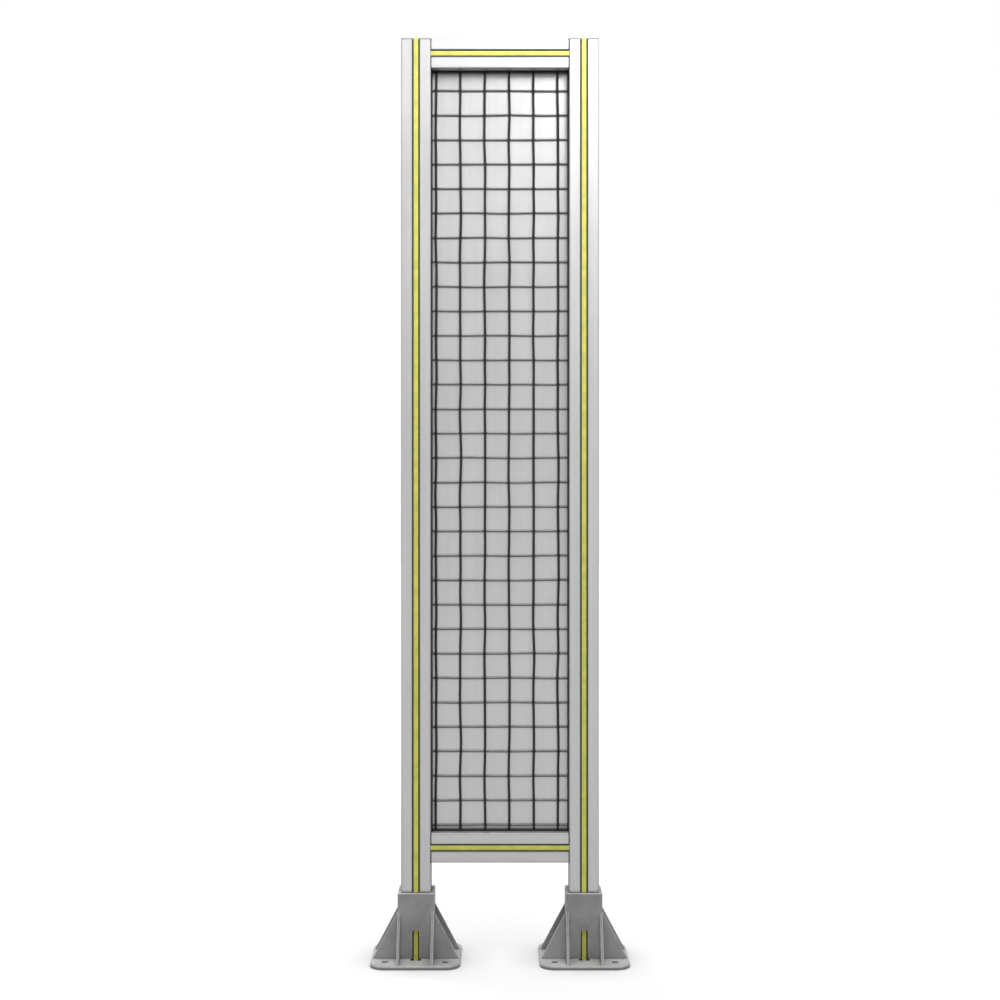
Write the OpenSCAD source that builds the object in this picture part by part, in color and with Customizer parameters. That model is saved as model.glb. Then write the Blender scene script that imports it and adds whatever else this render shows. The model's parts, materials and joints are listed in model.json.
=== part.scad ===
// Machine guard fence panel: a narrow frame of slotted aluminium profile with a
// welded wire mesh before a thin sheet, standing on two ribbed cast feet.
// +X runs along the fence, the front faces -Y, and the floor is Z = 0.

/* [Panel] */
// Width over the two posts
panel_w = 300; // [240:1:1200]
// Height from the floor to the top of the posts
panel_h = 1400; // [700:1:2200]
// Height of the bottom rail's underside above the floor
rail_z = 150; // [125:1:400]

/* [Slotted profile] */
// Side of the square profile
profile_w = 45; // [42:0.5:60]
// Radius of the profile's outer corners
profile_r = 1.5; // [0.5:0.1:2.5]
// Width of the slot mouth
slot_w = 10; // [9.6:0.1:12]
// Chamfer along the edges of the slot mouth
slot_edge = 0.3; // [0.1:0.1:0.5]
// Thickness of the lips on each side of the mouth
lip_t = 4.5; // [3:0.1:5.5]
// Width of the undercut behind the lips
undercut_w = 20; // [18:0.1:24]
// Straight height of the undercut's sides
undercut_h = 4; // [2:0.1:4.5]
// Depth of the slot below the face
slot_depth = 14; // [12:0.1:14.5]
// Width of the slot's floor
slot_floor_w = 9; // [7:0.1:10]
// Diameter of the core bore
core_d = 9; // [6:0.1:10]
// Wall between a corner chamber and the outer faces
chamber_wall = 2.5; // [1.5:0.1:3]
// Wall between a corner chamber and the undercuts
chamber_web = 2; // [1.5:0.1:2.5]
// Radius of the chamber's corners
chamber_r = 1; // [0.5:0.1:1.5]

/* [Cover strips] */
// Gap between a strip and each side of the slot mouth
strip_gap = 0.3; // [0.1:0.05:0.4]
// How far a strip's face lies below the profile's face
strip_recess = 0.5; // [0:0.1:1]
// Thickness of a strip's face
strip_t = 1.5; // [1:0.1:2.5]
// Thickness of a strip's snap legs
strip_leg_t = 1.2; // [0.8:0.1:1.6]
// How far the barbs reach behind the lips
strip_barb = 0.8; // [0.4:0.1:1.5]
// Height of a barb
strip_barb_h = 2.2; // [1.5:0.1:3]

/* [Infill] */
// Diameter of the mesh wires
wire_d = 3.2; // [2:0.1:3.4]
// Pitch of the upright wires
pitch_x = 37.3; // [20:0.1:60]
// Pitch of the level wires
pitch_z = 37.45; // [20:0.05:60]
// Distance from the left post's face to the first upright wire
first_x = 7.2; // [5:0.1:20]
// Distance from the top rail's underside to the first level wire
first_z = 28.6; // [5:0.1:36]
// How far a level wire sinks into an upright one where they are welded
weld = 0.3; // [0.1:0.05:0.5]
// Thickness of the backing sheet
sheet_t = 1.5; // [1:0.1:2]
// Gap between the mesh and the sheet, and between them and the gasket
infill_gap = 0.1; // [0.05:0.05:0.2]
// How far the infill reaches into the slots
infill_grip = 8; // [5:0.5:10]
// Gap between a gasket and each side of the slot mouth
gasket_gap = 0.1; // [0.05:0.05:0.2]
// Thickness of the gasket behind the infill's edge
gasket_base = 1.5; // [1:0.1:2]
// Width over a gasket's lips, which rest on the profile beside the slot
gasket_lip_w = 14; // [13:0.1:16]
// How far the lips stand out of the profile
gasket_lip_t = 2; // [1:0.1:2.5]
// Radius of the lips' outer edges
gasket_lip_r = 0.8; // [0.3:0.1:0.9]

/* [Foot] */
// Side of the square base plate
base_w = 135; // [120:1:180]
// Thickness of the base plate
base_t = 6; // [5:0.5:12]
// Corner radius of the base plate
base_r = 22.5; // [10:0.5:28]
// Chamfer along the base plate's upper edge
base_chamfer = 2.2; // [0.5:0.1:3]
// Height of the socket that holds the post
socket_h = 104.5; // [80:0.5:120]
// Wall of the socket
socket_wall = 4.75; // [3.5:0.05:8]
// Gap between the post and the socket on each side
socket_gap = 0.25; // [0.1:0.05:0.5]
// Radius of the socket's upright edges
socket_r = 2; // [1:0.1:3]
// Chamfer along the socket's upper edge
socket_chamfer = 1; // [0.4:0.1:1.5]
// Height of the gussets above the floor
gusset_h = 77; // [50:0.5:78]
// Thickness of the gussets
gusset_t = 4; // [3:0.1:6]
// Width of the slot in each socket wall
clamp_slot_w = 11; // [10:0.1:14]
// Height of the clamp slot's round top above the floor
clamp_slot_h = 50.4; // [46:0.1:60]
// Width of the opening in the base plate below each clamp slot
drain_w = 16; // [12:0.5:24]
// How far that opening reaches beyond the socket
drain_reach = 10; // [6:0.5:14]
// Diameter of the floor anchor holes
anchor_d = 11; // [9:0.5:14]
// Spacing of the floor anchor holes
anchor_pitch = 90; // [84:1:130]

/* [Clamp screws] */
// Height of the clamp screws above the floor
screw_z = 38; // [30:0.5:40]
// Diameter of the screws
screw_d = 8; // [6:0.5:8]
// Diameter of the screw heads
head_d = 14; // [12:0.5:16]
// Height of the screw heads
head_h = 4.4; // [3:0.1:6]
// Width across flats of the socket in the head
key_w = 5; // [4:0.5:6]
// Depth of the socket in the head
key_depth = 2.6; // [2:0.1:2.9]
// Diameter of the washers
washer_d = 18; // [16:0.5:24]
// Thickness of the washers
washer_t = 1.6; // [1:0.1:2.5]
// Gap between a screw and what it passes through
screw_gap = 0.1; // [0.05:0.05:0.3]
// Length of a slot nut along the post
nut_len = 20; // [16:0.5:24]
// Thickness of a slot nut behind the lips
nut_t = 4; // [3:0.1:4.5]
// Gap between a slot nut and the slot
nut_gap = 0.2; // [0.1:0.05:0.4]

/* [Hidden] */

// Overlap that joins solids of one piece, and the overshoot of a cut
eps = 1;
// Fine and coarse rounding
fine = 48;
coarse = 24;

// Frame
half = profile_w / 2;
post_x = panel_w / 2 - half;
inner_x = post_x - half;
inner_w = 2 * inner_x;
top_rail_z = panel_h - profile_w;
inner_z0 = rail_z + profile_w;
inner_h = top_rail_z - inner_z0;

// Infill, stacked from front to back and centred in the slot
mesh_t = 2 * wire_d - weld;
stack_t = mesh_t + infill_gap + sheet_t;
channel_w = stack_t + 2 * infill_gap;
upright_y = -stack_t / 2 + wire_d / 2;
level_y = upright_y + wire_d - weld;
sheet_y = stack_t / 2 - sheet_t;
grip = infill_grip - infill_gap;
edge_margin = gasket_lip_t + wire_d;
count_x = floor((inner_w - first_x - edge_margin) / pitch_x) + 1;
count_z = floor((inner_h - first_z - edge_margin) / pitch_z) + 1;
wire_sides = 8;

// Foot
socket_w = profile_w + 2 * (socket_gap + socket_wall);
socket_half = socket_w / 2;
gusset_toe = base_w / 2 - base_chamfer;
// A side strip starts just above the foot
side_strip_z = socket_h + eps;

function slot_x(side) = side * post_x;

// ---- Outlines ----

module rounded_square(w, r) {
    square([w, w - 2 * r], center = true);
    square([w - 2 * r, w], center = true);
    for (x = [-1, 1], y = [-1, 1])
        translate([x * (w / 2 - r), y * (w / 2 - r)]) circle(r = r, $fn = fine);
}

// The T-slot in the face at +Y: its mouth, the undercut and the slanted floor
module slot_cut() {
    translate([-slot_w / 2, half - lip_t - eps]) square([slot_w, lip_t + 2 * eps]);
    polygon([
        [-slot_w / 2, half - slot_edge],
        [-slot_w / 2 - slot_edge, half],
        [-slot_w / 2 - slot_edge, half + eps],
        [slot_w / 2 + slot_edge, half + eps],
        [slot_w / 2 + slot_edge, half],
        [slot_w / 2, half - slot_edge]
    ]);
    polygon([
        [-undercut_w / 2, half - lip_t],
        [undercut_w / 2, half - lip_t],
        [undercut_w / 2, half - lip_t - undercut_h],
        [slot_floor_w / 2, half - slot_depth],
        [-slot_floor_w / 2, half - slot_depth],
        [-undercut_w / 2, half - lip_t - undercut_h]
    ]);
}

module corner_chamber() {
    near = undercut_w / 2 + chamber_web;
    far = half - chamber_wall;
    translate([(near + far) / 2, (near + far) / 2]) rounded_square(far - near, chamber_r);
}

module profile_outline() {
    difference() {
        rounded_square(profile_w, profile_r);
        for (a = [0:90:270]) rotate(a) {
            slot_cut();
            corner_chamber();
        }
        circle(d = core_d, $fn = fine);
    }
}

// Cover strip for the slot at +Y: a flat face and two snap legs with barbs
module strip_outline() {
    edge = slot_w / 2 - strip_gap;
    face = half - strip_recess;
    catch = half - lip_t - strip_gap;
    right = [
        [edge, face],
        [edge, catch],
        [slot_w / 2 + strip_barb, catch],
        [edge - strip_leg_t / 2, catch - strip_barb_h],
        [edge - strip_leg_t, catch - strip_barb_h],
        [edge - strip_leg_t, face - strip_t]
    ];
    left = [for (i = [len(right) - 1:-1:0]) [-right[i][0], right[i][1]]];
    polygon(concat(right, left));
}

// U section round the infill's edge, for the slot at +Y. Its lips close the slot.
module gasket_outline() {
    w = slot_w - 2 * gasket_gap;
    bottom = half - infill_grip - gasket_base;
    lip_x = gasket_lip_w / 2 - gasket_lip_r;
    difference() {
        union() {
            translate([-w / 2, bottom]) square([w, half - bottom]);
            translate([-lip_x, half]) square([2 * lip_x, gasket_lip_t]);
            translate([-gasket_lip_w / 2, half])
                square([gasket_lip_w, gasket_lip_t - gasket_lip_r]);
            for (x = [-lip_x, lip_x])
                translate([x, half + gasket_lip_t - gasket_lip_r])
                    circle(r = gasket_lip_r, $fn = coarse);
        }
        translate([-channel_w / 2, half - infill_grip])
            square([channel_w, infill_grip + gasket_lip_t + eps]);
    }
}

// ---- Frame ----

// Places its children, drawn along +Z, as a post on one side
module on_post(side, z0) translate([slot_x(side), 0, z0]) children();

// Places its children, drawn along +Z, as a rail that runs along X, some way in
// from the left post. The outline's +Y becomes the rail's upper side.
module on_rail(z0, inset = 0)
    translate([-inner_x + inset, 0, z0 + half]) rotate([90, 0, 90]) children();

module post(side) color("gainsboro") on_post(side, 0)
    linear_extrude(panel_h, convexity = 10) profile_outline();

module rail(z0) color("gainsboro") on_rail(z0)
    linear_extrude(inner_w, convexity = 10) profile_outline();

module post_strip(side, angle, z0, z1) color("khaki") on_post(side, z0)
    linear_extrude(z1 - z0) rotate(angle) strip_outline();

module rail_strip(z0, angle) color("khaki") on_rail(z0)
    linear_extrude(inner_w) rotate(angle) strip_outline();

module post_gasket(side) color("dimgray") on_post(side, inner_z0)
    linear_extrude(inner_h) rotate(side * 90) gasket_outline();

// A rail's gasket fits between the lips of the posts' gaskets
module rail_gasket(z0, angle) color("dimgray") on_rail(z0, gasket_lip_t)
    linear_extrude(inner_w - 2 * gasket_lip_t) rotate(angle) gasket_outline();

// ---- Infill ----

// A straight wire along +Z, with flats towards the wires that cross it
module wire(length) rotate(180 / wire_sides)
    cylinder(h = length, d = wire_d / cos(180 / wire_sides), $fn = wire_sides);

// Upright wires in front, with the level wires welded on behind them
module mesh_infill() color("dimgray") {
    x0 = -inner_x + first_x;
    z0 = top_rail_z - first_z - (count_z - 1) * pitch_z;
    for (i = [0:count_x - 1])
        translate([x0 + i * pitch_x, upright_y, inner_z0 - grip])
            wire(inner_h + 2 * grip);
    for (j = [0:count_z - 1])
        translate([-inner_x - grip, level_y, z0 + j * pitch_z]) rotate([0, 90, 0])
            wire(inner_w + 2 * grip);
}

module backing_sheet() color("lightgray")
    translate([-inner_x - grip, sheet_y, inner_z0 - grip])
        cube([inner_w + 2 * grip, sheet_t, inner_h + 2 * grip]);

// ---- Foot ----

// A square block with round upright edges and a chamfer round its top
module chamfered_block(w, r, h, c) {
    linear_extrude(h - c) rounded_square(w, r);
    translate([0, 0, h - c]) {
        for (x = [-1, 1], y = [-1, 1])
            translate([x * (w / 2 - r), y * (w / 2 - r), 0])
                cylinder(h = c, r1 = r, r2 = r - c, $fn = fine);
        for (a = [0, 90]) rotate(a) translate([0, w / 2 - r, 0]) rotate([90, 0, 0])
            linear_extrude(w - 2 * r)
                polygon([[-w / 2, 0], [w / 2, 0], [w / 2 - c, c], [-w / 2 + c, c]]);
    }
}

// Two gussets flush with opposite walls, running out along +X
module gusset_pair() {
    root = socket_half - socket_r - eps;
    for (y = [socket_half, -socket_half + gusset_t])
        translate([0, y, 0]) rotate([90, 0, 0]) linear_extrude(gusset_t)
            polygon([
                [root, base_t - eps],
                [gusset_toe, base_t - eps],
                [gusset_toe, base_t],
                [socket_half, gusset_h],
                [root, gusset_h]
            ]);
}

// The clamp slot in the wall at +Y and the opening below it
module wall_cut() {
    r = clamp_slot_w / 2;
    translate([0, socket_half + eps, 0]) rotate([90, 0, 0])
        linear_extrude(socket_wall + socket_gap + 2 * eps) {
            translate([-r, -eps]) square([clamp_slot_w, clamp_slot_h - r + eps]);
            translate([0, clamp_slot_h - r]) circle(r = r, $fn = fine);
        }
    translate([-drain_w / 2, 0, -eps])
        cube([drain_w, socket_half + drain_reach, base_t + eps]);
}

module foot(side) color("gray") translate([slot_x(side), 0, 0]) {
    passage = profile_w + 2 * socket_gap;
    difference() {
        union() {
            chamfered_block(base_w, base_r, base_t, base_chamfer);
            chamfered_block(socket_w, socket_r, socket_h, socket_chamfer);
            for (a = [0:90:270]) rotate(a) gusset_pair();
        }
        translate([-passage / 2, -passage / 2, -eps])
            cube([passage, passage, socket_h + 2 * eps]);
        for (a = [0:90:270]) rotate(a) wall_cut();
        for (x = [-1, 1], y = [-1, 1])
            translate([x * anchor_pitch / 2, y * anchor_pitch / 2, -eps])
                cylinder(h = base_t + 2 * eps, d = anchor_d, $fn = fine);
    }
}

// Places its children, drawn along +Z outwards from the post's centre, at the
// clamp slots on both sides of a foot
module at_clamps(side) for (dir = [-1, 1])
    translate([slot_x(side), 0, screw_z]) rotate([0, dir * 90, 0]) children();

module screws(side) color("silver") at_clamps(side) {
    seat = socket_half + washer_t;
    tip = half - lip_t - nut_t;
    difference() {
        union() {
            translate([0, 0, tip]) cylinder(h = seat - tip + eps, d = screw_d, $fn = fine);
            translate([0, 0, seat]) cylinder(h = head_h, d1 = head_d, d2 = head_d * 0.65, $fn = fine);
        }
        translate([0, 0, seat + head_h - key_depth])
            cylinder(h = key_depth + eps, d = key_w / cos(30), $fn = 6);
    }
}

module washers(side) color("silver") at_clamps(side)
    translate([0, 0, socket_half]) difference() {
        cylinder(h = washer_t, d = washer_d, $fn = fine);
        translate([0, 0, -eps])
            cylinder(h = washer_t + 2 * eps, d = screw_d + 2 * screw_gap, $fn = coarse);
    }

module slot_nuts(side) color("silver") at_clamps(side) {
    body_w = undercut_w - 2 * nut_gap;
    neck_w = slot_w - 2 * nut_gap;
    back = half - lip_t - nut_t;
    difference() {
        union() {
            translate([-nut_len / 2, -body_w / 2, back])
                cube([nut_len, body_w, nut_t - nut_gap]);
            translate([-nut_len / 2, -neck_w / 2, back])
                cube([nut_len, neck_w, nut_t + lip_t - nut_gap]);
        }
        translate([0, 0, back - eps])
            cylinder(h = nut_t + lip_t + 2 * eps, d = screw_d + 2 * screw_gap, $fn = coarse);
    }
}

// ---- Assembly ----

post(-1);  // post_left
post(1);  // post_right
rail(top_rail_z);  // rail_top
rail(rail_z);  // rail_bottom
post_strip(-1, 180, 0, panel_h);  // strip_post_left_front
post_strip(-1, 0, 0, panel_h);  // strip_post_left_back
post_strip(-1, 90, side_strip_z, panel_h);  // strip_post_left_outer
post_strip(-1, -90, side_strip_z, rail_z);  // strip_post_left_inner
post_strip(1, 180, 0, panel_h);  // strip_post_right_front
post_strip(1, 0, 0, panel_h);  // strip_post_right_back
post_strip(1, -90, side_strip_z, panel_h);  // strip_post_right_outer
post_strip(1, 90, side_strip_z, rail_z);  // strip_post_right_inner
rail_strip(top_rail_z, 90);  // strip_rail_top_front
rail_strip(top_rail_z, -90);  // strip_rail_top_back
rail_strip(top_rail_z, 0);  // strip_rail_top_upper
rail_strip(rail_z, 90);  // strip_rail_bottom_front
rail_strip(rail_z, -90);  // strip_rail_bottom_back
rail_strip(rail_z, 180);  // strip_rail_bottom_under
post_gasket(-1);  // gasket_left
post_gasket(1);  // gasket_right
rail_gasket(top_rail_z, 180);  // gasket_top
rail_gasket(rail_z, 0);  // gasket_bottom
mesh_infill();
backing_sheet();
foot(-1);  // foot_left
foot(1);  // foot_right
screws(-1);  // screws_left
screws(1);  // screws_right
washers(-1);  // washers_left
washers(1);  // washers_right
slot_nuts(-1);  // slot_nuts_left
slot_nuts(1);  // slot_nuts_right
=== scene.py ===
"""Looks of a machine guard fence panel: its finishes, welded mesh, cast feet, fasteners, light and camera."""
import json
import logging
import math
from dataclasses import dataclass, field
from enum import Enum
from typing import Callable, Iterable, Optional, Union

import bmesh
import bpy
from mathutils import Matrix, Vector

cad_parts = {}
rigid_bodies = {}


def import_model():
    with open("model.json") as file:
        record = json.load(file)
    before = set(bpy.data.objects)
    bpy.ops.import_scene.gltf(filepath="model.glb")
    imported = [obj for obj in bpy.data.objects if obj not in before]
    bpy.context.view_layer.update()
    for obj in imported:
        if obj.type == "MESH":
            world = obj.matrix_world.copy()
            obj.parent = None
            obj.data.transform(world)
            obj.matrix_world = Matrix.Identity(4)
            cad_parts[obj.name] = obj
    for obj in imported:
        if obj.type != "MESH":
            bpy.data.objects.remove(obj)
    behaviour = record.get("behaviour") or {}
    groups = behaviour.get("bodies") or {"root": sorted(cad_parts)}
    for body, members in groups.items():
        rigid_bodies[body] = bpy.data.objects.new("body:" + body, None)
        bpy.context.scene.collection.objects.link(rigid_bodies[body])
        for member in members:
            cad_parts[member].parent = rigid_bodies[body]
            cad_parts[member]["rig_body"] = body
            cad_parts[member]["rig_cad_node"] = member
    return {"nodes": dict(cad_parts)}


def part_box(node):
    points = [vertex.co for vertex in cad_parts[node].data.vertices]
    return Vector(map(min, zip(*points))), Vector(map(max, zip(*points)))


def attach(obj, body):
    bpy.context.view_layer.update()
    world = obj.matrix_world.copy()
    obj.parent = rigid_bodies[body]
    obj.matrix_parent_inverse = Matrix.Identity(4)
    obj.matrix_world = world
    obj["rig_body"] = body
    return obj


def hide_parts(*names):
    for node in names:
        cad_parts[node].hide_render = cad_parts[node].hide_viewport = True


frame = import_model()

log = logging.getLogger("guard_panel")

Colour = tuple[float, float, float, float]
Feed = Union[float, tuple, bpy.types.NodeSocket]
ShapeTest = Callable[[Vector, Vector], bool]

SAME = 0.00001  # two places closer than this, in metres, count as one
ALONG = 0.9  # the least cosine between a direction and what runs or looks along it


class Side(Enum):
    """The side of the panel that a piece belongs to, as the sign of its X."""

    LEFT = -1
    RIGHT = 1


class Run(Enum):
    """The direction a long piece was drawn or rolled in, as a unit vector."""

    UPRIGHT = (0.0, 0.0, 1.0)
    LEVEL = (1.0, 0.0, 0.0)


def grey(value: float, warmth: float = 0.0) -> Colour:
    """Returns a grey as a linear colour, a little warm or cool."""
    return (value * (1.0 + warmth), value, value * (1.0 - warmth), 1.0)


def middle_of(node: str, axis: int) -> float:
    """Returns the middle of a CAD node's box along one axis."""
    low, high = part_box(node)
    return (low[axis] + high[axis]) / 2


def across(run: Run, stretch: float) -> tuple[float, ...]:
    """Returns the scale that draws a pattern out along a run.

    Args:
        run: The direction that lines follow.
        stretch: How much longer than wide they are.
    Returns:
        The scale of each axis.
    """
    return tuple(1.0 / stretch if part else 1.0 for part in run.value)


# ---------------------------------------------------------------- workshop


class Bench:
    """Selections and operators that every modelled piece is made with."""

    @staticmethod
    def clear() -> None:
        """Leaves object mode on and nothing selected."""
        if bpy.context.object and bpy.context.object.mode != "OBJECT":
            bpy.ops.object.mode_set(mode="OBJECT")
        bpy.ops.object.select_all(action="DESELECT")

    @staticmethod
    def take(pieces: Iterable[bpy.types.Object]) -> None:
        """Selects these pieces alone and makes the first one active.

        Args:
            pieces: What is to be worked on.
        """
        Bench.clear()
        for number, piece in enumerate(pieces):
            piece.select_set(True)
            if number == 0:
                bpy.context.view_layer.objects.active = piece

    @staticmethod
    def open(piece: bpy.types.Object, mode: str) -> None:
        """Opens one piece in edit mode with nothing selected.

        Args:
            piece: The piece to edit.
            mode: VERT, EDGE or FACE.
        """
        Bench.take([piece])
        bpy.ops.object.mode_set(mode="EDIT")
        bpy.ops.mesh.select_mode(type=mode)
        bpy.ops.mesh.select_all(action="DESELECT")

    @staticmethod
    def close() -> None:
        """Goes back to object mode."""
        bpy.ops.object.mode_set(mode="OBJECT")

    @staticmethod
    def aim(mode: str) -> None:
        """Changes what is selected, in edit mode, and selects nothing yet.

        Args:
            mode: VERT, EDGE or FACE.
        """
        bpy.ops.mesh.select_mode(type=mode)
        bpy.ops.mesh.select_all(action="DESELECT")

    @staticmethod
    def face_out() -> None:
        """Turns every face of the open shell outwards and goes back to object mode."""
        bpy.ops.mesh.select_all(action="SELECT")
        bpy.ops.mesh.normals_make_consistent(inside=False)
        Bench.close()

    @staticmethod
    def pick_faces(piece: bpy.types.Object, test: ShapeTest) -> None:
        """Selects the faces that pass a test, in edit mode.

        Args:
            piece: The piece that is open.
            test: Says yes or no to a face's centre and normal.
        """
        shape = bmesh.from_edit_mesh(piece.data)
        chosen = [face for face in shape.faces if test(face.calc_center_median(), face.normal)]
        for face in chosen:
            face.select_set(True)
        bmesh.update_edit_mesh(piece.data)

    @staticmethod
    def pick_edges(piece: bpy.types.Object, test: ShapeTest) -> None:
        """Selects the edges that pass a test, in edit mode.

        Args:
            piece: The piece that is open.
            test: Says yes or no to an edge's middle and direction.
        """
        shape = bmesh.from_edit_mesh(piece.data)
        chosen = []
        for edge in shape.edges:
            start, end = (corner.co for corner in edge.verts)
            if test((start + end) / 2, (end - start).normalized()):
                chosen.append(edge)
        for edge in chosen:
            edge.select_set(True)
        bmesh.update_edit_mesh(piece.data)

    @staticmethod
    def apply(piece: bpy.types.Object) -> None:
        """Applies every modifier of a piece, in order.

        Args:
            piece: The piece that has them.
        """
        Bench.take([piece])
        for modifier in list(piece.modifiers):
            bpy.ops.object.modifier_apply(modifier=modifier.name)

    @staticmethod
    def settle(piece: bpy.types.Object) -> None:
        """Moves a piece's place, turn and scale into its mesh."""
        Bench.take([piece])
        bpy.ops.object.transform_apply(location=True, rotation=True, scale=True)

    @staticmethod
    def copy(piece: bpy.types.Object, shift: Vector) -> bpy.types.Object:
        """Copies a piece with a mesh of its own and moves the copy.

        Args:
            piece: The piece modelled once.
            shift: How far the copy lies from it.
        Returns:
            The settled copy.
        """
        Bench.take([piece])
        bpy.ops.object.duplicate(linked=False)
        twin = bpy.context.object
        bpy.ops.transform.translate(value=shift)
        Bench.settle(twin)
        return twin

    @staticmethod
    def row(first: bpy.types.Object, count: int, pitch: tuple[float, float, float]) -> list[bpy.types.Object]:
        """Repeats a piece along a line.

        Args:
            first: The piece modelled once.
            count: How many there are in all.
            pitch: The step from one to the next.
        Returns:
            The piece and its copies.
        """
        shifts = [Vector([part * number for part in pitch]) for number in range(1, count)]
        return [first] + [Bench.copy(first, shift) for shift in shifts]

    @staticmethod
    def join(pieces: list[bpy.types.Object], name: str) -> bpy.types.Object:
        """Joins pieces into one mesh.

        Args:
            pieces: What is joined, the first of which gives the origin.
            name: The finished piece's name.
        Returns:
            The joined piece.
        """
        Bench.take(pieces)
        if len(pieces) > 1:
            bpy.ops.object.join()
        whole = bpy.context.object
        whole.name = name
        whole.data.name = name
        return whole

    @staticmethod
    def smooth(piece: bpy.types.Object, degrees: float) -> None:
        """Shades a piece smooth up to an angle.

        Args:
            piece: The piece to shade.
            degrees: The sharpest turn that still reads as one surface.
        """
        Bench.take([piece])
        bpy.ops.object.shade_smooth_by_angle(angle=math.radians(degrees))


# ---------------------------------------------------------------- node trees


class Wiring:
    """Adds the nodes of one node tree and joins them."""

    def __init__(self, tree: bpy.types.NodeTree) -> None:
        """Works on one tree."""
        self.tree = tree

    def add(self, kind: str, feeds: Optional[dict] = None, **settings: object) -> bpy.types.Node:
        """Adds a node, sets it up and feeds its inputs.

        Args:
            kind: The node's type.
            feeds: Input name or number, to a value or the socket that feeds it.
            settings: The node's own properties.
        Returns:
            The new node.
        """
        node = self.tree.nodes.new(kind)
        for name, value in settings.items():
            setattr(node, name, value)
        for place, value in (feeds or {}).items():
            if isinstance(value, bpy.types.NodeSocket):
                self.link(value, node.inputs[place])
            else:
                node.inputs[place].default_value = value
        return node

    def link(self, source: bpy.types.NodeSocket, target: bpy.types.NodeSocket) -> None:
        """Feeds one socket from another."""
        self.tree.links.new(source, target)

    def roughen(self, shader: bpy.types.Node, height: Feed, strength: float, distance: float) -> None:
        """Gives a shader fine relief.

        Args:
            shader: The shader whose normal it turns.
            height: The relief.
            strength: How strongly it shows, from 0 to 1.
            distance: How high it stands.
        """
        bump = self.add("ShaderNodeBump", {"Strength": strength, "Distance": distance, "Height": height})
        self.link(bump.outputs[0], shader.inputs["Normal"])

    def tint(self, shader: bpy.types.Node, place: str, tone: Feed) -> None:
        """Feeds a shader's colour with a grey.

        Args:
            shader: The shader.
            place: The name of its colour input.
            tone: How bright the grey is.
        """
        colour = self.add("ShaderNodeCombineColor", {0: tone, 1: tone, 2: tone}).outputs[0]
        self.link(colour, shader.inputs[place])

    def math(self, operation: str, *terms: Feed) -> bpy.types.NodeSocket:
        """Adds a Math node.

        Args:
            operation: Its operation.
            terms: One to three values or sockets.
        Returns:
            Its result.
        """
        return self.add("ShaderNodeMath", dict(enumerate(terms)), operation=operation).outputs[0]

    def vector(self, operation: str, *terms: Feed) -> bpy.types.Node:
        """Adds a Vector Math node and returns it."""
        return self.add("ShaderNodeVectorMath", dict(enumerate(terms)), operation=operation)

    def slant(self, one: Feed, other: Feed) -> bpy.types.NodeSocket:
        """Returns the size of the dot product of two vectors, either way round."""
        return self.math("ABSOLUTE", self.vector("DOT_PRODUCT", one, other).outputs["Value"])

    def weigh(self, first: Feed, share: float, second: Feed) -> bpy.types.NodeSocket:
        """Adds two values by share.

        Args:
            first: The value that counts for the share.
            share: From 0 to 1.
            second: The value that counts for the rest.
        Returns:
            Their weighted sum.
        """
        rest = self.math("MULTIPLY", second, 1.0 - share)
        return self.math("MULTIPLY_ADD", first, share, rest)

    def spread(
        self, value: Feed, low: Feed, high: Feed, bottom: Feed = 0.0, top: Feed = 1.0
    ) -> bpy.types.NodeSocket:
        """Stretches a value from one range to another, smoothly and within its ends.

        Args:
            value: What is stretched.
            low: The value that gives bottom.
            high: The value that gives top.
            bottom: The result's lower end.
            top: The result's upper end.
        Returns:
            The stretched value.
        """
        feeds = {0: value, 1: low, 2: high, 3: bottom, 4: top}
        return self.add("ShaderNodeMapRange", feeds, interpolation_type="SMOOTHSTEP").outputs[0]

    def blend(self, share: Feed, under: Feed, over: Feed) -> bpy.types.NodeSocket:
        """Mixes two colours.

        Args:
            share: How much of the upper colour shows.
            under: The colour where share is 0.
            over: The colour where share is 1.
        Returns:
            The mixed colour.
        """
        return self.add("ShaderNodeMix", {0: share, 6: under, 7: over}, data_type="RGBA").outputs[2]

    def noise(
        self, where: Feed, scale: Feed, detail: float = 3.0, roughness: float = 0.5
    ) -> bpy.types.NodeSocket:
        """Adds a Noise Texture.

        Args:
            where: The vector that it reads.
            scale: Its scale.
            detail: How many octaves it has.
            roughness: How strong its finer octaves are.
        Returns:
            Its value.
        """
        feeds = {"Vector": where, "Scale": scale, "Detail": detail, "Roughness": roughness}
        return self.add("ShaderNodeTexNoise", feeds).outputs[0]

    def effect(self, group: bpy.types.NodeTree, feeds: dict) -> bpy.types.Node:
        """Places a node group.

        Args:
            group: The group's tree.
            feeds: Its inputs by name.
        Returns:
            The group node.
        """
        return self.add("ShaderNodeGroup", feeds, node_tree=group)


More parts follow.
